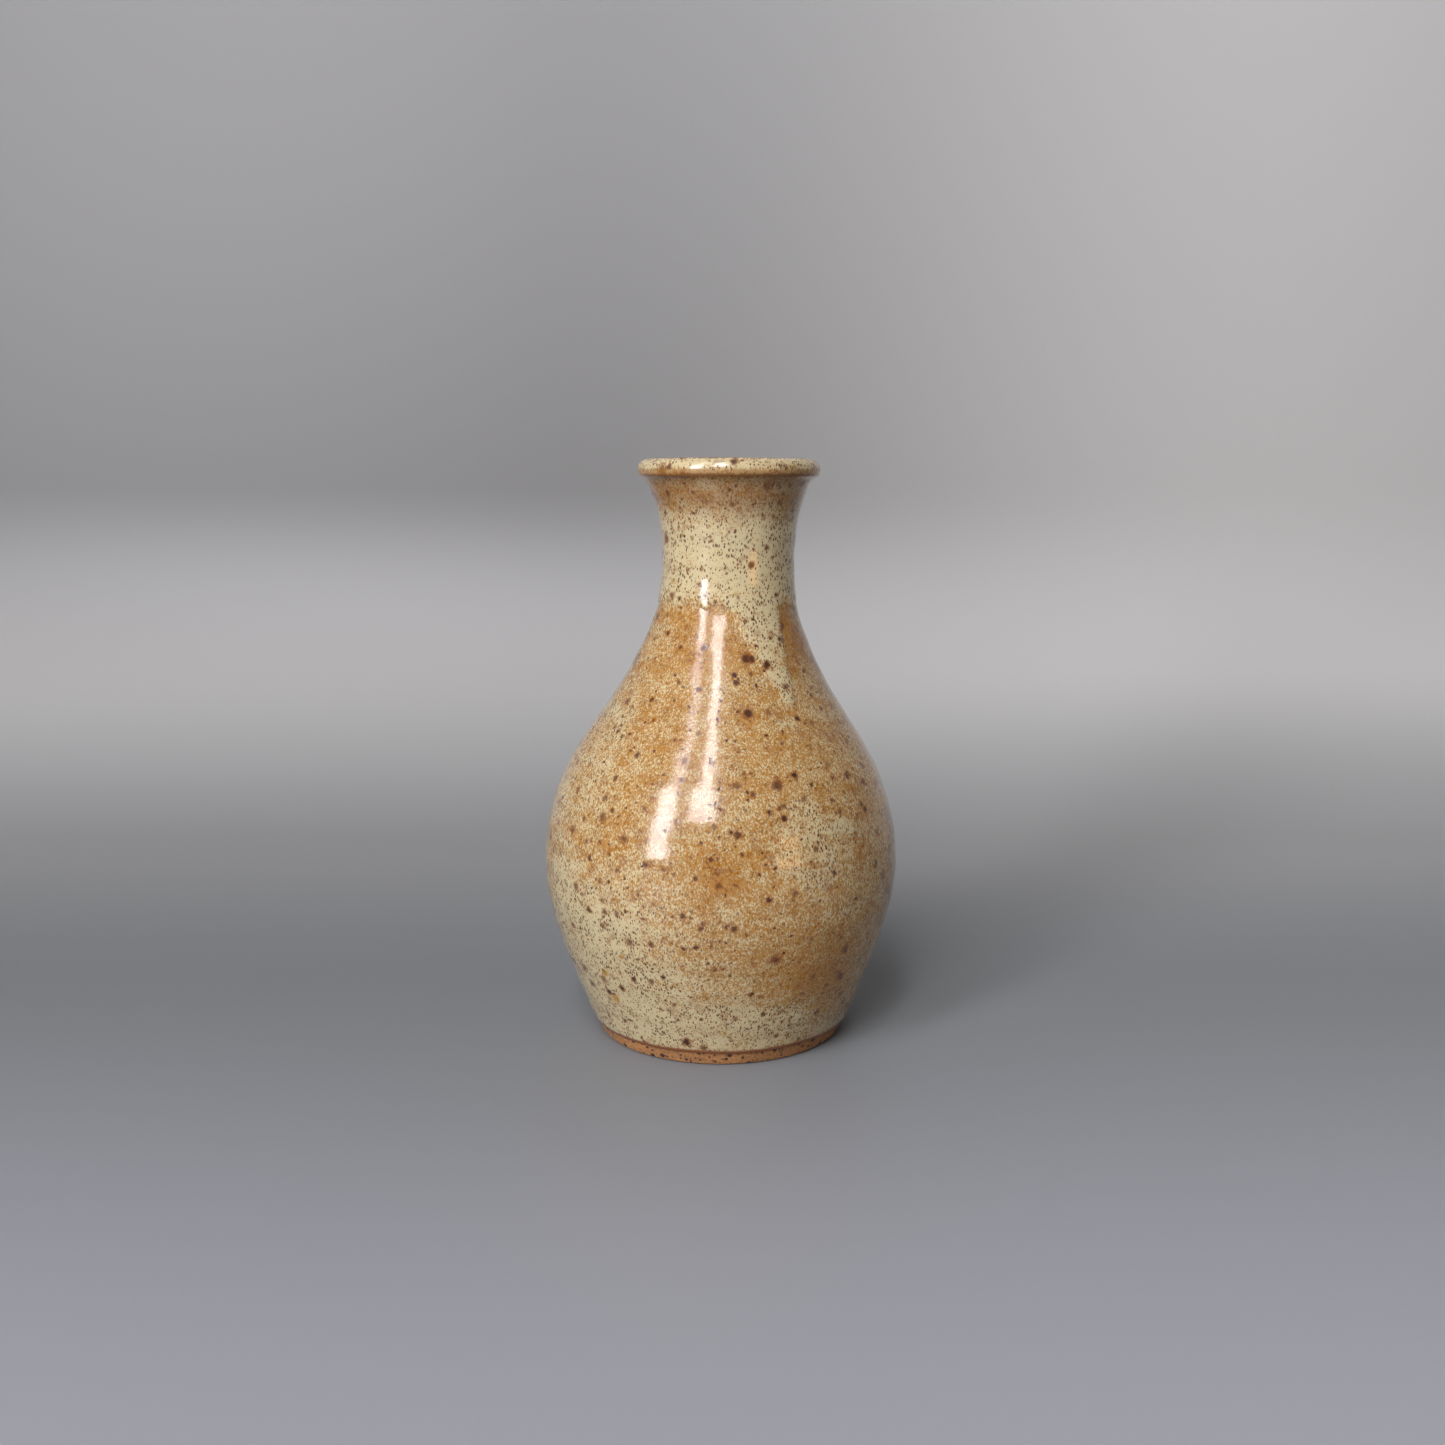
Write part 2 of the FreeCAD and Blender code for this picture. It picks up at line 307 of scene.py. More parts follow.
def second_coat_points(sizes):
    start = NECK_LINE - sizes.run_length - 6 * MM
    shoulder = [(radius + sizes.second_depth, height)
                for radius, height in across(FIRST, steps(start, NECK_LINE - MM, 7))]
    neck = across(SECOND, steps(NECK_LINE + 3 * MM, TOP - sizes.lip_drop - CORNER_GAP, 8))
    lip = lip_points(SECOND, sizes, range(-20, 89, 18))
    centre = (LIP_RADIUS - sizes.lip_roll, TOP - sizes.lip_roll)
    # Past the crown it thins over the first coat, and stays a hair under its own top.
    inner = []
    depth = sizes.second_depth - 0.02 * MM
    for degrees in range(106, 197, 18):
        radius, height = fan(FIRST, centre, FEELER_REACH * sizes.lip_roll, [degrees], LEAN)[0]
        angle = math.radians(degrees)
        inner.append((radius + depth * math.cos(angle), height + depth * math.sin(angle)))
    return shoulder + neck + lip + inner, [len(shoulder + neck)]


def liner_points(sizes):
    middle = (0.65 * HIGH.x / 2, 22 * MM)
    floor = [(radius, touch(LINER, Vector((radius, 0, middle[1])), DOWN).z)
             for radius in steps(0, middle[0], 4)]
    bend = fan(LINER, middle, 0, range(-75, -34, 10))
    wall = across(LINER, steps(14 * MM, LINER_LINE - EDGE_GAP, 22), LEAN / 2)
    return floor + bend + wall, []


# ---------------------------------------------------------------- the coat, as Geometry Nodes

COAT_INPUTS = {
    "Around": ("NodeSocketInt", 256),
    "Rows": ("NodeSocketInt", 230),
    "Hidden Rows": ("NodeSocketInt", 50),
    "Depth": ("NodeSocketFloat", 0.0006),
    "Start": ("NodeSocketFloat", 0.0),
    "Edge Width": ("NodeSocketFloat", 0.0),
    "End Width": ("NodeSocketFloat", 0.0),
    "Wave": ("NodeSocketFloat", 0.0),
    "Run": ("NodeSocketFloat", 0.0),
    "Run Angle": ("NodeSocketFloat", 0.0),
    "Run Slope": ("NodeSocketFloat", 1.0),
    "Run Side": ("NodeSocketFloat", 1.0),
    "Ring Depth": ("NodeSocketFloat", 0.0),
    "Ring Pitch": ("NodeSocketFloat", 0.01),
    "Lump Height": ("NodeSocketFloat", 0.0),
    "Lump Size": ("NodeSocketFloat", 0.01),
    "Lean": ("NodeSocketFloat", 0.0),
    "Lean From": ("NodeSocketFloat", 0.0),
    "Lean To": ("NodeSocketFloat", 1.0),
    "Seed": ("NodeSocketFloat", 1.0),
    "Material": ("NodeSocketMaterial", None),
}


def coat_tree():
    """Turns a path round the axis into a closed coat.

    It has a face, and a side against the clay, Depth behind the face."""
    tree = bpy.data.node_groups.new("Coat of glaze", "GeometryNodeTree")
    tree.interface.new_socket("Geometry", in_out="INPUT", socket_type="NodeSocketGeometry")
    tree.interface.new_socket("Geometry", in_out="OUTPUT", socket_type="NodeSocketGeometry")
    for name, (kind, default) in COAT_INPUTS.items():
        socket = tree.interface.new_socket(name, in_out="INPUT", socket_type=kind)
        if default is not None:
            socket.default_value = default
    given = add(tree, "NodeGroupInput", out=None).outputs

    # A flat grid: its x goes once round the pot, its y goes up the face and back down behind it.
    rows = add(tree, MATH, [given["Rows"], given["Hidden Rows"]], operation="ADD")
    grid = add(tree, "GeometryNodeMeshGrid", {
        "Size X": 1.0, "Size Y": 1.0, "Vertices X": add(tree, MATH, [given["Around"], 1.0], operation="ADD"),
        "Vertices Y": add(tree, MATH, [rows, 1.0], operation="ADD")})
    place = add(tree, SEPARATE, [add(tree, "GeometryNodeInputPosition")], out=None).outputs
    angle = add(tree, MATH, [
        add(tree, MATH, [place["X"], 0.5], operation="ADD"), 2 * math.pi], operation="MULTIPLY")
    climb = add(tree, MATH, [place["Y"], 0.5], operation="ADD")
    share = add(tree, MATH, [given["Rows"], rows], operation="DIVIDE")
    on_face = add(tree, MATH, [climb, add(tree, MATH, [share, 1e-5], operation="ADD")], operation="LESS_THAN")
    up_face = add(tree, MATH, [climb, share], operation="DIVIDE")
    up_back = add(tree, MATH, [
        add(tree, MATH, [1.0, climb], operation="SUBTRACT"),
        add(tree, MATH, [1.0, share], operation="SUBTRACT")], operation="DIVIDE")
    even = add(tree, MIX, {0: on_face, 2: up_back, 3: up_face})
    # Rows crowd towards both edges of the coat, where it is rounded.
    crowded = add(tree, MATH, [
        add(tree, MATH, [add(tree, MATH, [even, math.pi], operation="MULTIPLY")], operation="COSINE"), -0.5,
        0.5], operation="MULTIPLY_ADD")
    along = add(tree, MIX, {0: 0.5, 2: even, 3: crowded})

    # Where the coat starts on its path: a line that wanders, with one run down from it, like a blunt wedge.
    circle = add(tree, COMBINE, [
        add(tree, MATH, [add(tree, MATH, [angle], operation="COSINE"), 1.3], operation="MULTIPLY"),
        add(tree, MATH, [add(tree, MATH, [angle], operation="SINE"), 1.3], operation="MULTIPLY"),
        given["Seed"]])
    wander = add(tree, NOISE, {"Vector": circle, "Scale": 1.6, "Detail": 2.0})
    wave = add(tree, MATH, [
        add(tree, MATH, [wander, 0.5], operation="SUBTRACT"),
        add(tree, MATH, [given["Wave"], 2.0], operation="MULTIPLY")], operation="MULTIPLY")
    line = add(tree, MATH, [given["Start"], wave], operation="ADD")
    turned = add(tree, MATH, [angle, given["Run Angle"]], operation="SUBTRACT")
    aside = add(tree, MATH, [
        add(tree, MATH, [turned], operation="SINE"),
        add(tree, MATH, [turned], operation="COSINE")], operation="ARCTAN2")
    before = add(tree, MATH, [
        aside, add(tree, MATH, [given["Run Slope"], -1.0], operation="MULTIPLY")], operation="DIVIDE")
    after = add(tree, MATH, [aside, given["Run Side"]], operation="DIVIDE")
    deep = add(tree, MATH, [1.0, add(tree, MATH, [before, after], operation="MAXIMUM")], operation="SUBTRACT")
    deep = add(tree, MATH, [add(tree, MATH, [deep, 0.85], operation="MINIMUM"), 0.0], operation="MAXIMUM")
    start = add(tree, MATH, [
        add(tree, MATH, [
            line, add(tree, MATH, [deep, given["Run"]], operation="MULTIPLY")], operation="SUBTRACT"),
        0.0], operation="MAXIMUM")
    total = add(tree, "GeometryNodeCurveLength", [given["Geometry"]])
    coated = add(tree, MATH, [total, start], operation="SUBTRACT")
    sample = add(tree, "GeometryNodeSampleCurve", {
        "Curves": given["Geometry"],
        "Length": add(tree, MATH, [
            coated, along, start], operation="MULTIPLY_ADD")}, out=None, mode="LENGTH").outputs
    point = add(tree, SEPARATE, [sample["Position"]], out=None).outputs
    tangent = add(tree, SEPARATE, [sample["Tangent"]], out=None).outputs

    # How far each point lies inside the edge: from the line, or down in the run from its two slanting sides.
    up = add(tree, MATH, [coated, along], operation="MULTIPLY")
    above = add(tree, MATH, [add(tree, MATH, [start, up], operation="ADD"), line], operation="SUBTRACT")
    opening = add(tree, MATH, [
        add(tree, MATH, [above, given["Run"]], operation="DIVIDE"), 1.0], operation="ADD")
    within = up
    for side, way in ((given["Run Slope"], 1.0), (given["Run Side"], -1.0)):
        apart = add(tree, MATH, [
            side, opening, add(tree, MATH, [aside, way], operation="MULTIPLY")], operation="MULTIPLY_ADD")
        slant = add(tree, MATH, [
            add(tree, MATH, [point["X"], side], operation="MULTIPLY"), given["Run"]], operation="DIVIDE")
        steepness = add(tree, MATH, [
            add(tree, MATH, [slant, slant, 1.0], operation="MULTIPLY_ADD")], operation="SQRT")
        within = add(tree, MATH, [
            within,
            add(tree, MATH, [
                add(tree, MATH, [point["X"], apart], operation="MULTIPLY"),
                steepness], operation="DIVIDE")], operation="MINIMUM")
    from_edge = add(tree, MATH, [above, within], operation="MAXIMUM")
    to_end = add(tree, MATH, [
        coated, add(tree, MATH, [1.0, along], operation="SUBTRACT")], operation="MULTIPLY")

    # How full the coat is: none at its edge, all of it one edge width away.
    full = 1.0
    for distance, width in ((from_edge, given["Edge Width"]), (to_end, given["End Width"])):
        ratio = add(tree, MATH, [
            add(tree, MATH, [distance, 1e-5], operation="ADD"), width], operation="DIVIDE")
        short = add(tree, MATH, [
            1.0, add(tree, MATH, [ratio, 1.0], operation="MINIMUM")], operation="SUBTRACT")
        squared = add(tree, MATH, [short, 2.0], operation="POWER")
        left = add(tree, MATH, [add(tree, MATH, [1.0, squared], operation="SUBTRACT")], operation="SQRT")
        full = add(tree, MATH, [full, left], operation="MULTIPLY")

    # Throwing rings and the swell of the melted glaze.
    around_pot = add(tree, COMBINE, [
        add(tree, MATH, [point["X"], add(tree, MATH, [angle], operation="COSINE")], operation="MULTIPLY"),
        add(tree, MATH, [point["X"], add(tree, MATH, [angle], operation="SINE")], operation="MULTIPLY"),
        point["Z"]])
    turns = add(tree, MATH, [
        add(tree, MATH, [point["Z"], 2 * math.pi], operation="MULTIPLY"),
        given["Ring Pitch"]], operation="DIVIDE")
    ring_strength = add(tree, NOISE, {
        "Vector": add(tree, COMBINE, [0.0, given["Seed"], point["Z"]]), "Scale": 60.0, "Detail": 1.0})
    rings = add(tree, MATH, [
        add(tree, MATH, [add(tree, MATH, [turns, angle], operation="ADD")], operation="SINE"),
        add(tree, MATH, [ring_strength, given["Ring Depth"]], operation="MULTIPLY")], operation="MULTIPLY")
    swell = add(tree, NOISE, {
        "Vector": around_pot, "Scale": add(tree, MATH, [1.0, given["Lump Size"]], operation="DIVIDE"),
        "Detail": 2.0})
    lumps = add(tree, MATH, [
        add(tree, MATH, [swell, 0.8], operation="SUBTRACT"),
        add(tree, MATH, [given["Lump Height"], 2.0], operation="MULTIPLY")], operation="MULTIPLY")
    face = add(tree, MATH, [
        add(tree, MATH, [add(tree, MATH, [rings, lumps], operation="ADD"), full], operation="MULTIPLY"),
        add(tree, MATH, [
            given["Depth"],
            add(tree, MATH, [1.0, full], operation="SUBTRACT")], operation="MULTIPLY")], operation="SUBTRACT")
    offset = add(tree, MIX, {
        0: on_face, 2: add(tree, MATH, [given["Depth"], -1.0], operation="MULTIPLY"), 3: face})

    radius = add(tree, MATH, [tangent["Z"], offset, point["X"]], operation="MULTIPLY_ADD")
    height = add(tree, MATH, [
        point["Z"], add(tree, MATH, [tangent["X"], offset], operation="MULTIPLY")], operation="SUBTRACT")
    drift = add(tree, MAP_RANGE, {
        "Value": height, "From Min": given["Lean From"], "From Max": given["Lean To"], "To Min": 0.0,
        "To Max": given["Lean"]}, interpolation_type="SMOOTHSTEP")
    position = add(tree, COMBINE, [
        add(tree, MATH, [
            radius, add(tree, MATH, [angle], operation="COSINE"), drift], operation="MULTIPLY_ADD"),
        add(tree, MATH, [radius, add(tree, MATH, [angle], operation="SINE")], operation="MULTIPLY"), height])

    marked = add(tree, "GeometryNodeStoreNamedAttribute", {
        "Geometry": grid, "Name": "from_edge", "Value": from_edge}, data_type="FLOAT", domain="POINT")
    shaped = add(tree, "GeometryNodeSetPosition", {"Geometry": marked, "Position": position})
    closed = add(tree, "GeometryNodeMergeByDistance", {"Geometry": shaped, "Distance": 2e-6})
    outward = add(tree, "GeometryNodeFlipFaces", {
        "Mesh": closed, "Selection": add(tree, MATH, [given["Depth"], 0.0], operation="LESS_THAN")})
    smooth = add(tree, "GeometryNodeSetShadeSmooth", {"Geometry": outward})
    real = add(tree, "GeometryNodeRealizeInstances", {"Geometry": smooth})
    painted = add(tree, "GeometryNodeSetMaterial", {"Geometry": real, "Material": given["Material"]})
    add(tree, "NodeGroupOutput", [painted])
    return tree


def make_coat(name, points, corners, settings, node):
    """Bakes a coat to a plain mesh that stands for its CAD node."""
    sizes = bpy.context.scene.vase_sizes
    path = draw_path(name + "_path", points, corners)
    modifier = path.modifiers.new("Coat", "NODES")
    modifier.node_group = bpy.data.node_groups.get("Coat of glaze") or coat_tree()
    common = {
        "Around": sizes.around, "Rows": sizes.rows, "Hidden Rows": sizes.hidden_rows,
        "Ring Pitch": sizes.ring_pitch, "Lump Size": sizes.lump_size,
        "Lean": LEAN, "Lean From": LEAN_FROM, "Lean To": LEAN_TO,
    }
    for item in modifier.node_group.interface.items_tree:
        value = {**common, **settings}.get(item.name)
        if item.in_out == "INPUT" and value is not None:
            modifier[item.identifier] = value
    shape = path.evaluated_get(bpy.context.evaluated_depsgraph_get())
    mesh = bpy.data.meshes.new_from_object(shape)
    mesh.name = name
    bpy.data.objects.remove(path)
    piece = bpy.data.objects.new(name, mesh)
    bpy.context.scene.collection.objects.link(piece)
    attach(piece, "root")
    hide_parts(node)


# ---------------------------------------------------------------- materials

# Where the first coat lies thick, and where it lies thin and amber: (x, y, z, radius in mm, strength).
THICK_PLACES = {
    "low on the left": (-50, -35, 5, 60, 1.0),
    "over the front of the foot": (4, -34, 5, 24, 0.7),
    "a smear on the right": (24, -42, 60, 16, 0.45),
    "left of the shoulder": (-36, -16, 76, 26, 0.4),
    "behind the right": (34, 34, 50, 34, 0.9),
    "low at the back": (-12, 36, 14, 28, 0.8),
    "behind the left shoulder": (-26, 22, 88, 20, 0.7),
}
AMBER_PLACES = {
    "beside the run": (17, -12, 104, 13, 1.0),
    "on the belly": (1, -46, 52, 10, 0.9),
    "low on the right": (24, -34, 26, 20, 0.6),
    "under the dip line": (-6, -20, 104, 14, 0.5),
    "behind the neck": (-6, 22, 103, 14, 0.9),
    "behind the belly": (-30, 33, 46, 14, 0.8),
}


# Iron spots, as (how far apart, radius) in mm.
IRON_SPOTS = ((6.8, 1.15), (4.0, 0.72), (2.2, 0.38))


def new_material(name):
    material = bpy.data.materials.new(name)
    material.use_nodes = True
    material.node_tree.nodes.clear()
    return material


def near(tree, point, places, soft):
    """From 0 to 1, how far inside any of the places a point in mm is. The outer soft share of each fades."""
    inside = 0.0
    for x, y, z, radius, strength in places.values():
        away = add(tree, VECTOR_MATH, [point, (x, y, z)], out="Value", operation="DISTANCE")
        here = add(tree, MAP_RANGE, {
            "Value": away, "From Min": radius, "From Max": radius * (1 - soft),
            "To Max": strength}, interpolation_type="SMOOTHSTEP")
        inside = add(tree, MATH, [inside, here], operation="MAXIMUM")
    return inside


def spots(tree, point, spacing, radius, blur=0.3, grow=1.0):
    """Round spots, one to a cell of a random pattern, up to radius wide each side. All in mm.

    Gives how much each point is covered, and a random shade for its spot."""
    cells = add(tree, "ShaderNodeTexVoronoi", {"Vector": point, "Scale": 1 / spacing}, out=None).outputs
    shade = add(tree, "ShaderNodeSeparateColor", [cells["Color"]], out=None).outputs
    size = add(tree, MATH, [
        shade["Red"], 0.65 * radius / spacing, 0.35 * radius / spacing], operation="MULTIPLY_ADD")
    grown = add(tree, MATH, [size, grow], operation="MULTIPLY")
    ratio = add(tree, MATH, [cells["Distance"], grown], operation="DIVIDE")
    cover = add(tree, MAP_RANGE, {
        "Value": ratio, "From Min": 1 + blur, "From Max": 1 - blur}, interpolation_type="SMOOTHSTEP")
    return cover, shade["Green"]


def glaze(name, second):
    """Glossy oatmeal glaze over iron-bearing clay.

    Thick, it is an opaque cream with pinholes of brown. Thin, it goes clear and caramel with flecks of cream.
    Iron from the clay melts into it as spots with a rusty rim, and it breaks to brown where an edge sheds it.
    So the eye reads a soft, stony mottle under a wet shine."""
    colours = bpy.context.scene.vase_colours
    sizes = bpy.context.scene.vase_sizes
    material = new_material(name)
    tree = material.node_tree
    place = add(tree, "ShaderNodeTexCoord", out="Object")
    point = add(tree, VECTOR_MATH, {0: place, "Scale": 1 / MM}, operation="SCALE")
    height = add(tree, SEPARATE, [point], out="Z")

    # How thick the glaze lies, from 0 to 1: in places, in drifts a few millimetres wide, and in level bands
    # where it settled between the throwing rings.
    sway = add(tree, NOISE, {
        "Vector": add(tree, VECTOR_MATH, [point, (1 / 13, 1 / 13, 1 / 10)], operation="MULTIPLY"),
        "Detail": 3.0, "Scale": 1.0}, out="Color")
    swayed = add(tree, VECTOR_MATH, [
        add(tree, VECTOR_MATH, [sway, (0.5, 0.5, 0.5)], operation="SUBTRACT"), (24, 24, 20),
        point], operation="MULTIPLY_ADD")
    patch = near(tree, swayed, THICK_PLACES, 0.45)
    patch = add(tree, MATH, [
        patch,
        add(tree, MATH, [
            add(tree, MAP_RANGE, {
                "Value": height, "From Min": 15, "From Max": 4}, interpolation_type="SMOOTHSTEP"),
            0.5], operation="MULTIPLY")], operation="MAXIMUM")
    from_edge = add(tree, "ShaderNodeAttribute", out="Fac", attribute_name="from_edge")
    corner, top = (TOP - sizes.lip_drop) / MM, TOP / MM
    drifts = add(tree, NOISE, {
        "Vector": add(tree, VECTOR_MATH, [point, (1 / 5.5, 1 / 5.5, 1 / 4)], operation="MULTIPLY"),
        "Scale": 1.0, "Detail": 4.0, "Roughness": 0.65})
    grain = add(tree, NOISE, {
        "Vector": add(tree, VECTOR_MATH, [point, (1 / 0.4, 1 / 0.4, 1 / 0.62)], operation="MULTIPLY"),
        "Scale": 1.0, "Detail": 2.0, "Roughness": 0.6})
    if second:
        ragged = add(tree, MATH, [
            add(tree, MATH, [drifts, 0.5], operation="SUBTRACT"), 3 * MM,
            from_edge], operation="MULTIPLY_ADD")
        ragged = add(tree, MATH, [
            add(tree, MATH, [grain, 0.5], operation="SUBTRACT"), 5 * MM, ragged], operation="MULTIPLY_ADD")
        laid = add(tree, MAP_RANGE, {
            "Value": ragged, "From Min": -0.4 * MM, "From Max": 2.4 * MM}, interpolation_type="SMOOTHSTEP")
        # Under the lip the second coat is less cream, more amber and toffee: partly glaze broken thin there,
        # partly painted shade under the lip's overhang.
        under_lip_break_and_shade = add(tree, MATH, [
            add(tree, MAP_RANGE, {
                "Value": height, "From Min": 132, "From Max": 140}, interpolation_type="SMOOTHSTEP"),
            add(tree, MAP_RANGE, {
                "Value": height, "From Min": corner + 1,
                "From Max": corner}, interpolation_type="SMOOTHSTEP")], operation="MULTIPLY")
        patch = add(tree, MATH, [
            patch, add(tree, MATH, [under_lip_break_and_shade, -0.5, laid], operation="MULTIPLY_ADD")], operation="MAXIMUM")
    bands = add(tree, NOISE, {
        "Vector": add(tree, VECTOR_MATH, [point, (1 / 45, 1 / 45, 1 / 2.4)], operation="MULTIPLY"),
        "Scale": 1.0, "Detail": 2.0})
    darker = near(tree, swayed, AMBER_PLACES, 0.8)
    if second:
        darker = add(tree, MATH, [
            darker, add(tree, MATH, [under_lip_break_and_shade, 0.6], operation="MULTIPLY")], operation="MAXIMUM")
    level = add(tree, MATH, [patch, 0.38, 0.4], operation="MULTIPLY_ADD")
    level = add(tree, MATH, [
        add(tree, MATH, [drifts, 0.5], operation="SUBTRACT"), 0.7, level], operation="MULTIPLY_ADD")
    level = add(tree, MATH, [
        add(tree, MATH, [bands, 0.5], operation="SUBTRACT"), 0.4, level], operation="MULTIPLY_ADD")
    level = add(tree, MATH, [darker, -0.15, level], operation="MULTIPLY_ADD")

    # Thin and thick meet in a fine stipple, not in a blend. Its grain is 0.4 mm wide and 0.6 mm high. That is
    # a little coarser than the finest of a real one, so that it shows.
    stippled = add(tree, MATH, [
        add(tree, MATH, [grain, 0.5], operation="SUBTRACT"), 2.2, level], operation="MULTIPLY_ADD")
    colour = add(tree, MIX, {
        0: add(tree, MAP_RANGE, {
            "Value": stippled, "From Min": 0.32, "From Max": 0.64}, interpolation_type="SMOOTHSTEP"),
        6: colours.caramel, 7: colours.cream}, out=2, data_type="RGBA")

    # Where it lies thin it also has darker flecks, and goes amber in whole places.
    under = add(tree, NOISE, {
        "Vector": add(tree, VECTOR_MATH, [point, (1 / 0.9, 1 / 0.9, 1 / 1.0)], operation="MULTIPLY"),
        "Scale": 1.0, "Detail": 3.0, "Roughness": 0.7})
    thin = add(tree, MAP_RANGE, {
        "Value": level, "From Min": 0.75, "From Max": 0.35}, interpolation_type="SMOOTHSTEP")
    amber = add(tree, MATH, [darker, 0.75], operation="MULTIPLY")
    amber = add(tree, MATH, [
        amber,
        add(tree, MATH, [
            add(tree, MAP_RANGE, {
                "Value": drifts, "From Min": 0.44, "From Max": 0.3}, interpolation_type="SMOOTHSTEP"),
            0.5], operation="MULTIPLY")], operation="MAXIMUM")
    amber = add(tree, MATH, [
        add(tree, MATH, [
            amber,
            add(tree, MAP_RANGE, {
                "Value": under, "From Min": 0.5,
                "From Max": 0.36}, interpolation_type="SMOOTHSTEP")], operation="ADD"),
        add(tree, MATH, [thin, 0.8], operation="MULTIPLY")], operation="MULTIPLY")
    colour = add(tree, MIX, {0: amber, 6: colour, 7: colours.amber}, out=2, data_type="RGBA")

    # Soft brown blotches, 1 to 2.5 mm across, deep in the glaze.
    blotches, shade = spots(tree, swayed, 3.2, 1.3, 0.6)
    colour = add(tree, MIX, {
        0: add(tree, MATH, [
            blotches, add(tree, MATH, [shade, 0.45, 0.1], operation="MULTIPLY_ADD")], operation="MULTIPLY"),
        6: colour, 7: colours.rust}, out=2, data_type="RGBA")

    # Ochre pools in the cream, 1 to 3 mm across.
    pools, _ = spots(tree, point, 8.5, 1.5, 0.3)
    colour = add(tree, MIX, {
        0: add(tree, MATH, [
            pools, add(tree, MATH, [patch, 0.85], operation="MULTIPLY")], operation="MULTIPLY"), 6: colour,
        7: colours.ochre}, out=2, data_type="RGBA")

    # Brown pinholes in the cream, up to half a millimetre across. They are drawn out to twice that downwards,
    # because the glaze ran, and lie thicker in some drifts than in others.
    crowd = add(tree, NOISE, {
        "Vector": add(tree, VECTOR_MATH, [point, (1 / 7, 1 / 7, 1 / 5)], operation="MULTIPLY"), "Scale": 1.0,
        "Detail": 3.0})
    pins, _ = spots(
        tree, add(tree, VECTOR_MATH, [point, (1, 1, 1 / 1.9)], operation="MULTIPLY"), 0.55, 0.22, 0.4,
        add(tree, MATH, [
            add(tree, MAP_RANGE, {
                "Value": crowd, "From Min": 0.3, "From Max": 0.7}, interpolation_type="SMOOTHSTEP"), 0.5,
            0.8], operation="MULTIPLY_ADD"))
    pins = add(tree, MATH, [
        pins,
        add(tree, MATH, [
            add(tree, MAP_RANGE, {
                "Value": level, "From Min": 0.4, "From Max": 0.65}, interpolation_type="SMOOTHSTEP"), 0.5,
            0.45], operation="MULTIPLY_ADD")], operation="MULTIPLY")
    colour = add(tree, MIX, {0: pins, 6: colour, 7: colours.pinhole}, out=2, data_type="RGBA")

    # Iron spots in three sizes, each with a rusty rim round a dark middle.
    jitter = add(tree, NOISE, {
        "Vector": add(tree, VECTOR_MATH, [point, (1 / 0.9, 1 / 0.9, 1 / 0.9)], operation="MULTIPLY"),
        "Scale": 1.0, "Detail": 1.0}, out="Color")
    rough = add(tree, VECTOR_MATH, [
        add(tree, VECTOR_MATH, [jitter, (0.5, 0.5, 0.5)], operation="SUBTRACT"), (0.9, 0.9, 1.2),
        point], operation="MULTIPLY_ADD")
    pits = 0.0
    for spacing, radius in IRON_SPOTS:
        rim, shade = spots(tree, rough, spacing, 1.5 * radius, 0.4)
        rim = add(tree, MATH, [
            rim, add(tree, MATH, [shade, 0.4, 0.4], operation="MULTIPLY_ADD")], operation="MULTIPLY")
        colour = add(tree, MIX, {0: rim, 6: colour, 7: colours.rust}, out=2, data_type="RGBA")
        core, shade = spots(tree, rough, spacing, radius, 0.35)
        core = add(tree, MATH, [
            core, add(tree, MATH, [shade, 0.5, 0.45], operation="MULTIPLY_ADD")], operation="MULTIPLY")
        colour = add(tree, MIX, {0: core, 6: colour, 7: colours.iron}, out=2, data_type="RGBA")
        pits = add(tree, MATH, [pits, core], operation="MAXIMUM")

    # The first coat breaks to rust along its lower edge. The second goes toffee under the lip: partly glaze
    # broken thin, partly painted shade under the lip's overhang. Both go amber and toffee at the lip's lower
    # corner, and toffee over its crown.
    if second:
        break_and_shade = add(tree, MATH, [
            under_lip_break_and_shade, add(tree, MATH, [under, 0.7, 0.05], operation="MULTIPLY_ADD")], operation="MULTIPLY")
        colour = add(tree, MIX, {0: break_and_shade, 6: colour, 7: colours.toffee}, out=2, data_type="RGBA")
    else:
        colour = add(tree, MIX, {
            0: add(tree, MAP_RANGE, {
                "Value": from_edge, "From Min": 1.9 * MM,
                "From Max": 1.0 * MM}, interpolation_type="SMOOTHSTEP"), 6: colour,
            7: colours.rust}, out=2, data_type="RGBA")
    ragged = add(tree, MATH, [add(tree, MATH, [under, 0.5], operation="SUBTRACT"), 2.2], operation="MULTIPLY")
    edges = (
        (corner + 0.8, 1.4, colours.amber), (corner + 0.2, 0.6, colours.toffee),
        (top + 0.1, 0.5, colours.toffee))
    for edge, width, shade in edges:
        away = add(tree, MATH, [
            add(tree, MATH, [
                add(tree, MATH, [height, ragged], operation="ADD"),
                edge], operation="SUBTRACT")], operation="ABSOLUTE")
        colour = add(tree, MIX, {
            0: add(tree, MATH, [
                add(tree, MAP_RANGE, {
                    "Value": away, "From Min": width,
                    "From Max": 0.3 * width}, interpolation_type="SMOOTHSTEP"), 0.65], operation="MULTIPLY"),
            6: colour, 7: shade}, out=2, data_type="RGBA")

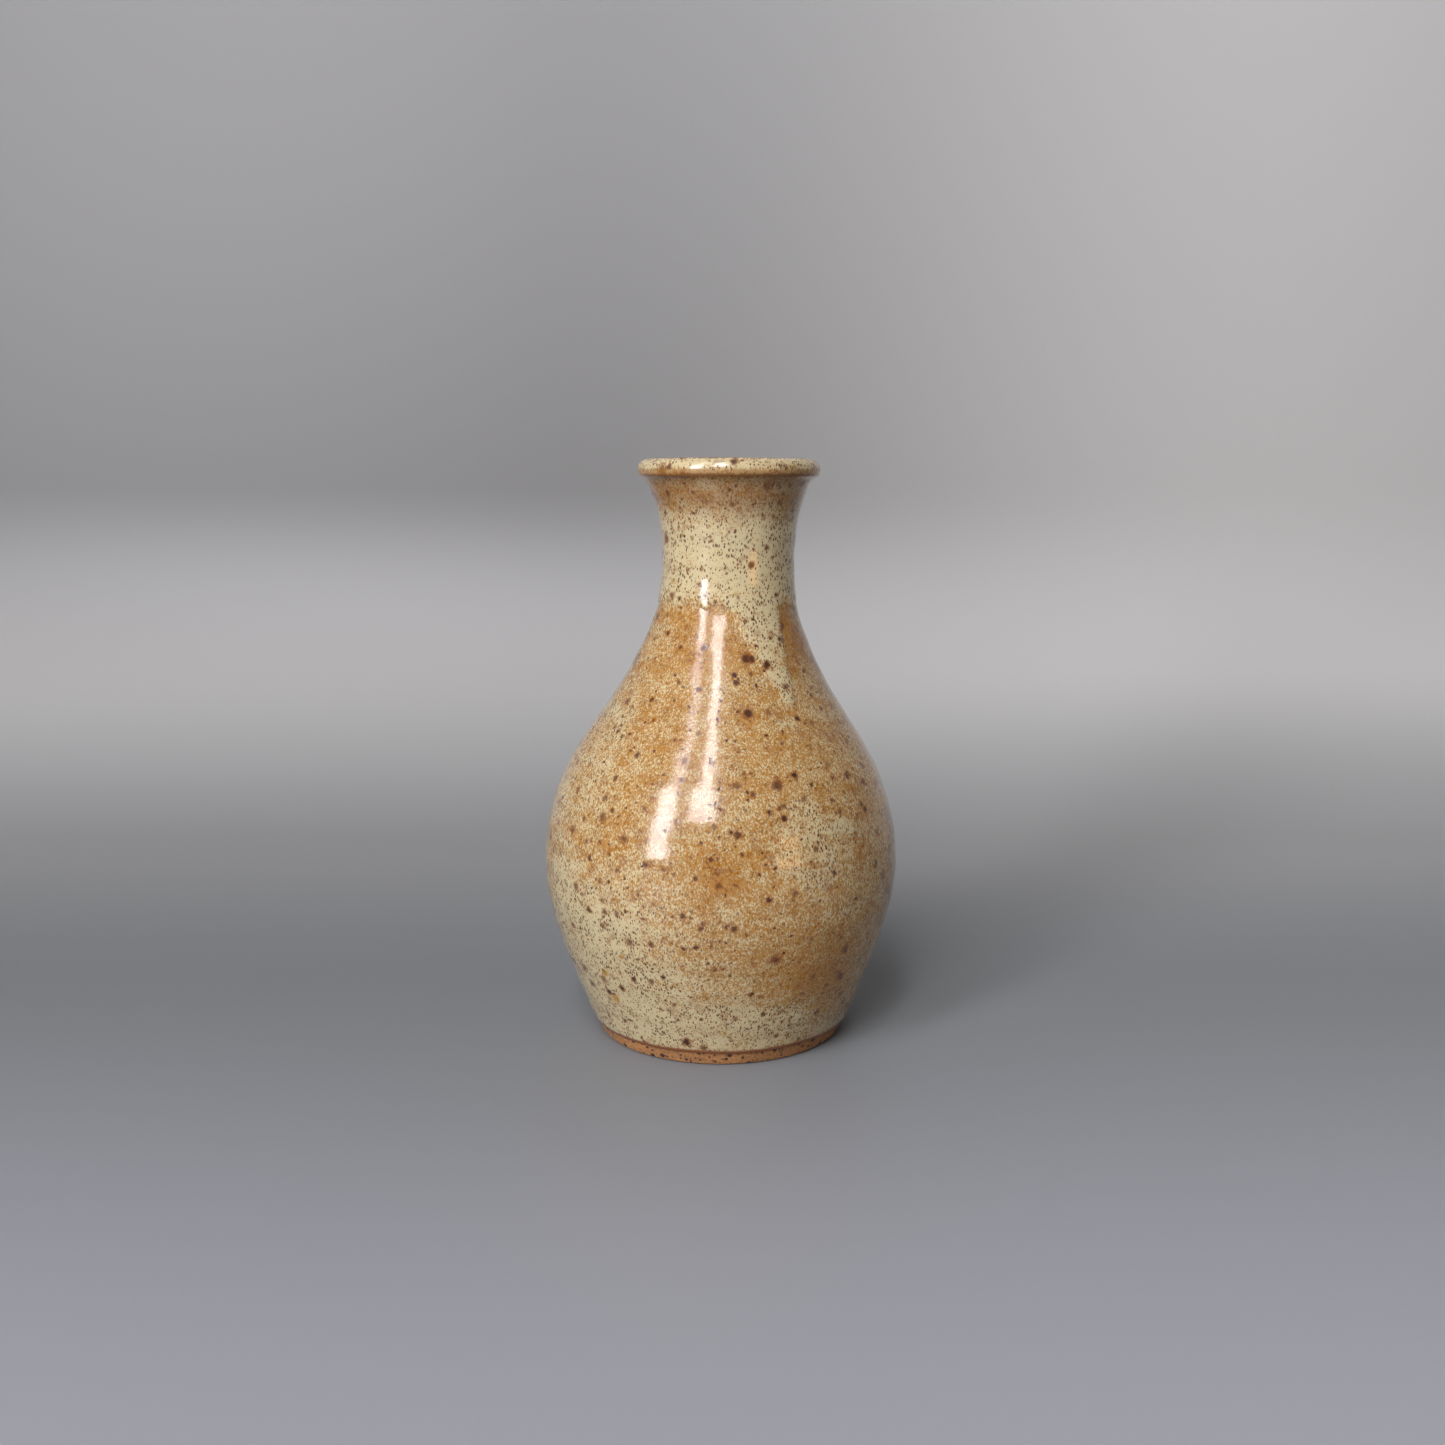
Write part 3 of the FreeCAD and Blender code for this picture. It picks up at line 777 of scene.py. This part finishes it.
    # The melted surface isn't quite flat: orange peel 2 mm wide, the grain, and iron spots that sank in.
    peel = add(tree, NOISE, {
        "Vector": add(tree, VECTOR_MATH, [point, (1 / 2.4, 1 / 2.4, 1 / 2.0)], operation="MULTIPLY"),
        "Scale": 1.0, "Detail": 2.0})
    relief = add(tree, MATH, [
        peel, 0.04, add(tree, MATH, [grain, 0.011], operation="MULTIPLY")], operation="MULTIPLY_ADD")
    relief = add(tree, MATH, [
        relief, add(tree, MATH, [pits, 0.03], operation="MULTIPLY")], operation="SUBTRACT")
    normal = add(tree, "ShaderNodeBump", {"Height": relief, "Strength": 1.0, "Distance": MM})
    shader = add(tree, "ShaderNodeBsdfPrincipled", {
        "Base Color": colour, "Roughness": add(tree, MATH, [pits, 0.15, 0.22], operation="MULTIPLY_ADD"),
        "Normal": normal, "IOR": 1.5, "Specular IOR Level": 0.2, "Coat Weight": 0.5, "Coat Roughness": 0.04,
        "Coat IOR": 1.5, "Coat Normal": normal}, out="BSDF")
    add(tree, "ShaderNodeOutputMaterial", [shader])
    return material


def bare_clay():
    """Unglazed stoneware, fired to a toasted tan: dry and matt, grainy with fine grog, peppered with iron.

    It gives the eye a rough, dark-specked band against the wet shine above it."""
    colours = bpy.context.scene.vase_colours
    material = new_material("Bare toasted stoneware")
    tree = material.node_tree
    place = add(tree, "ShaderNodeTexCoord", out="Object")
    point = add(tree, VECTOR_MATH, {0: place, "Scale": 1 / MM}, operation="SCALE")
    grain = add(tree, NOISE, {"Vector": point, "Scale": 1 / 0.6, "Detail": 3.0, "Roughness": 0.7})
    toast = add(tree, NOISE, {"Vector": point, "Scale": 1 / 9, "Detail": 3.0})
    warm = add(tree, "ShaderNodeHueSaturation", {
        "Color": colours.clay,
        "Value": add(tree, MAP_RANGE, {"Value": toast, "To Min": 0.6, "To Max": 1.35})})
    sandy = add(tree, "ShaderNodeHueSaturation", {
        "Color": warm,
        "Value": add(tree, MAP_RANGE, {
            "Value": grain, "From Min": 0.25, "From Max": 0.75, "To Min": 0.35, "To Max": 1.55})})
    fine, _ = spots(tree, point, 1.2, 0.38)
    coarse, _ = spots(tree, point, 2.4, 0.75)
    specks = add(tree, MATH, [fine, coarse], operation="MAXIMUM")
    colour = add(tree, MIX, {0: specks, 6: sandy, 7: colours.iron}, out=2, data_type="RGBA")
    normal = add(tree, "ShaderNodeBump", {"Height": grain, "Strength": 1.0, "Distance": 0.1 * MM})
    shader = add(tree, "ShaderNodeBsdfPrincipled", {
        "Base Color": colour, "Roughness": 0.82, "Normal": normal, "IOR": 1.5}, out="BSDF")
    add(tree, "ShaderNodeOutputMaterial", [shader])
    return material


# ---------------------------------------------------------------- operators, one for each piece

class VASE_OT_clay_body(bpy.types.Operator):
    """Gives the thrown clay body its bare stoneware"""

    bl_idname = "vase.clay_body"
    bl_label = "Clay Body"

    def execute(self, context):
        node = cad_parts[CLAY]
        node.data.materials.clear()
        node.data.materials.append(bare_clay())
        return {"FINISHED"}


class VASE_OT_first_coat(bpy.types.Operator):
    """Pours the first coat of glaze, from above the foot to inside the lip"""

    bl_idname = "vase.first_coat"
    bl_label = "First Coat"

    def execute(self, context):
        sizes = context.scene.vase_sizes
        points, corners = first_coat_points(sizes)
        settings = {
            "Depth": sizes.first_depth, "Start": sizes.line_wave, "Wave": sizes.line_wave,
            "Edge Width": 0.7 * MM, "End Width": 1.5 * MM,
            "Ring Depth": sizes.ring_depth, "Lump Height": sizes.lump_height, "Seed": 3.0,
            "Material": glaze("Oatmeal glaze, one coat", False),
        }
        make_coat("oatmeal_coat", points, corners, settings, FIRST)
        return {"FINISHED"}


class VASE_OT_second_coat(bpy.types.Operator):
    """Dips the neck and lip again, with a run down the shoulder"""

    bl_idname = "vase.second_coat"
    bl_label = "Second Coat"

    def execute(self, context):
        sizes = context.scene.vase_sizes
        points, corners = second_coat_points(sizes)
        settings = {
            "Depth": sizes.second_depth + 0.1 * MM, "Start": path_length(points, NECK_LINE),
            "Wave": sizes.dip_wave, "Edge Width": 3.0 * MM, "End Width": 3.0 * MM,
            "Run": sizes.run_length, "Run Angle": sizes.run_angle, "Run Slope": sizes.run_slope,
            "Run Side": sizes.run_side,
            "Ring Depth": sizes.ring_depth, "Lump Height": sizes.lump_height, "Seed": 5.0,
            "Material": glaze("Oatmeal glaze, second coat", True),
        }
        make_coat("neck_coat", points, corners, settings, SECOND)
        return {"FINISHED"}


class VASE_OT_glaze_inside(bpy.types.Operator):
    """Lines the hollow with the glaze that was poured in and out"""

    bl_idname = "vase.glaze_inside"
    bl_label = "Glaze Inside"

    def execute(self, context):
        sizes = context.scene.vase_sizes
        points, corners = liner_points(sizes)
        settings = {
            "Depth": -sizes.liner_depth, "Edge Width": 0.001 * MM, "End Width": 0.5 * MM,
            "Material": glaze("Oatmeal glaze, poured inside", False),
        }
        make_coat("inside_coat", points, corners, settings, LINER)
        return {"FINISHED"}


# ---------------------------------------------------------------- stage

CAMERA_PLACE = (0.5 * MM, -375.5 * MM, 144 * MM)
CAMERA_TILT = math.radians(-9.43)
CAMERA_LENS = 36.05
ROOM_COLOUR, ROOM_STRENGTH = "#C9C6C0", 0.25


def make_sweep(colours):
    """A matt grey board, which curves up from a floor into a backdrop behind the pot.

    It is paler on the backdrop and in front, so the pot stands out softly against it. Its floor is darker
    behind the pot, towards the bend: painted shade."""
    front, back, bend, top, half = -1.6, 0.34, 0.14, 1.8, 1.8
    line = [(front, 0.0), (back - bend, 0.0)]
    for degrees in range(5, 91, 5):
        angle = math.radians(degrees)
        line.append((back - bend + bend * math.sin(angle), bend - bend * math.cos(angle)))
    line.append((back, top))
    points = [(side * half, y, z) for y, z in line for side in (-1, 1)]
    faces = [(2 * i, 2 * i + 1, 2 * i + 3, 2 * i + 2) for i in range(len(line) - 1)]
    mesh = bpy.data.meshes.new("sweep")
    mesh.from_pydata(points, [], faces)
    mesh.shade_smooth()
    material = new_material("Matt grey board")
    tree = material.node_tree
    place = add(tree, SEPARATE, [add(tree, "ShaderNodeTexCoord", out="Object")], out=None).outputs

    # Painted shade: the floor goes from a darker grey behind the pot, towards the bend, to a paler grey in
    # front.
    nearer = add(tree, MAP_RANGE, {
        "Value": place["Y"], "From Min": 0.04, "From Max": -0.2}, interpolation_type="SMOOTHSTEP")
    paler = add(tree, MATH, [
        add(tree, MAP_RANGE, {
            "Value": place["Y"], "From Min": 0.03, "From Max": 0.21,
            "To Max": 0.4}, interpolation_type="SMOOTHSTEP"),
        add(tree, MAP_RANGE, {
            "Value": place["Z"], "From Min": 0, "From Max": 0.06,
            "To Max": 0.6}, interpolation_type="SMOOTHSTEP")], operation="ADD")
    floor = add(tree, MIX, {
        0: nearer, 6: colours.floor_back_painted_shade, 7: colours.floor_front}, out=2, data_type="RGBA")
    board = add(tree, MIX, {0: paler, 6: floor, 7: colours.backdrop}, out=2, data_type="RGBA")

    # Painted shade: the board is darker to the left, more so higher up, and a little darker higher up on the
    # right too.
    left, high = (
        add(tree, MAP_RANGE, {
            "Value": place["X"], "From Min": 0.3, "From Max": -0.1}, interpolation_type="SMOOTHSTEP"),
        add(tree, MAP_RANGE, {
            "Value": place["Z"], "From Min": 0.01, "From Max": 0.15}, interpolation_type="SMOOTHSTEP"))
    painted_shade = add(tree, MATH, [
        left, add(tree, MATH, [high, 0.34, 0.26], operation="MULTIPLY_ADD"),
        add(tree, MATH, [high, 0.1], operation="MULTIPLY")], operation="MULTIPLY_ADD")
    painted_shade = add(tree, MATH, [painted_shade, add(tree, MATH, [paler, 0.5], operation="MAXIMUM")], operation="MULTIPLY")
    tone = add(tree, "ShaderNodeHueSaturation", {
        "Color": board, "Value": add(tree, MATH, [1.0, painted_shade], operation="SUBTRACT")})
    shader = add(tree, "ShaderNodeBsdfPrincipled", {"Base Color": tone, "Roughness": 0.55}, out="BSDF")
    add(tree, "ShaderNodeOutputMaterial", [shader])
    mesh.materials.append(material)
    sweep = bpy.data.objects.new("sweep", mesh)
    bpy.context.scene.collection.objects.link(sweep)


# name: (degrees left of the camera, distance, lowest and highest edge, width, radiance, colour)
LIGHTS = {
    "window_near_low": (13.5, 1.2, 0.66, 1.15, 0.42, 15.0, "#FCFAFB"),
    "window_near_high": (12.5, 1.2, 1.15, 2.9, 0.24, 18.0, "#FCFAFB"),
    "window_far_low": (40.5, 1.2, 0.2, 0.95, 0.25, 17.0, "#FCFAFB"),
    "window_far_high": (40.5, 1.2, 0.95, 2.9, 0.24, 9.5, "#FBF4FF"),
    "glint_near_low": (13.5, 1.2, 0.66, 1.15, 0.42, 18.0, "#F4F4FF"),
    "glint_near_high": (12.5, 1.2, 1.15, 2.9, 0.24, 14.0, "#F4F4FF"),
    "glint_far_low": (40.5, 1.2, 0.2, 0.95, 0.25, 18.0, "#F4F4FF"),
    "glint_warm": (-43.0, 0.8, 0.03, 0.2, 0.22, 5.0, "#FFB060"),
}


def make_lights():
    """The windows light the pot and shine in its glaze. The glints light nothing; they only shine in glossy
    surfaces: the glaze, and faintly the board.
    """
    for name, (left, distance, low, high, width, radiance, colour) in LIGHTS.items():
        data = bpy.data.lights.new(name, "AREA")
        data.shape = "RECTANGLE"
        data.size = width
        data.size_y = high - low
        data.energy = radiance * math.pi * width * (high - low)
        data.color = linear(colour)[:3]
        light = bpy.data.objects.new(name, data)
        angle = math.radians(left)
        light.location = (-distance * math.sin(angle), -distance * math.cos(angle), (low + high) / 2)
        light.rotation_euler = (math.pi / 2, 0, -angle)
        light.visible_diffuse = name.startswith("window")
        bpy.context.scene.collection.objects.link(light)


class VASE_OT_stage(bpy.types.Operator):
    """Sets out the sweep, the windows' light and the camera"""

    bl_idname = "vase.stage"
    bl_label = "Stage"

    def execute(self, context):
        scene = context.scene
        make_sweep(scene.vase_colours)
        make_lights()
        world = bpy.data.worlds.new("Room")
        world.use_nodes = True
        room = world.node_tree.nodes["Background"]
        room.inputs["Color"].default_value = linear(ROOM_COLOUR)
        room.inputs["Strength"].default_value = ROOM_STRENGTH
        scene.world = world
        camera = bpy.data.objects.new("camera", bpy.data.cameras.new("camera"))
        camera.data.lens = CAMERA_LENS
        camera.data.clip_start = 0.01
        camera.location = CAMERA_PLACE
        camera.rotation_euler = (math.pi / 2 + CAMERA_TILT, 0, 0)
        scene.collection.objects.link(camera)
        scene.camera = camera
        scene.view_settings.view_transform = "Standard"
        return {"FINISHED"}


class VASE_PT_sidebar(bpy.types.Panel):
    """Sizes, colours and the steps of making the vase"""

    bl_idname = "VASE_PT_sidebar"
    bl_label = "Bottle Vase"
    bl_space_type = "VIEW_3D"
    bl_region_type = "UI"
    bl_category = "Vase"

    def draw(self, context):
        for group in (context.scene.vase_sizes, context.scene.vase_colours):
            column = self.layout.column()
            for name in group.__annotations__:
                column.prop(group, name)
        for operator in OPERATORS:
            self.layout.operator(operator.bl_idname)


OPERATORS = (VASE_OT_clay_body, VASE_OT_first_coat, VASE_OT_second_coat, VASE_OT_glaze_inside, VASE_OT_stage)
CLASSES = (VaseSizes, VaseColours, *OPERATORS, VASE_PT_sidebar)


def register():
    for each in CLASSES:
        bpy.utils.register_class(each)
    bpy.types.Scene.vase_sizes = bpy.props.PointerProperty(type=VaseSizes)
    bpy.types.Scene.vase_colours = bpy.props.PointerProperty(type=VaseColours)


def unregister():
    del bpy.types.Scene.vase_colours
    del bpy.types.Scene.vase_sizes
    for each in reversed(CLASSES):
        bpy.utils.unregister_class(each)


def main():
    register()
    bpy.ops.vase.clay_body()
    bpy.ops.vase.first_coat()
    bpy.ops.vase.second_coat()
    bpy.ops.vase.glaze_inside()
    bpy.ops.vase.stage()


if __name__ == "__main__":
    main()
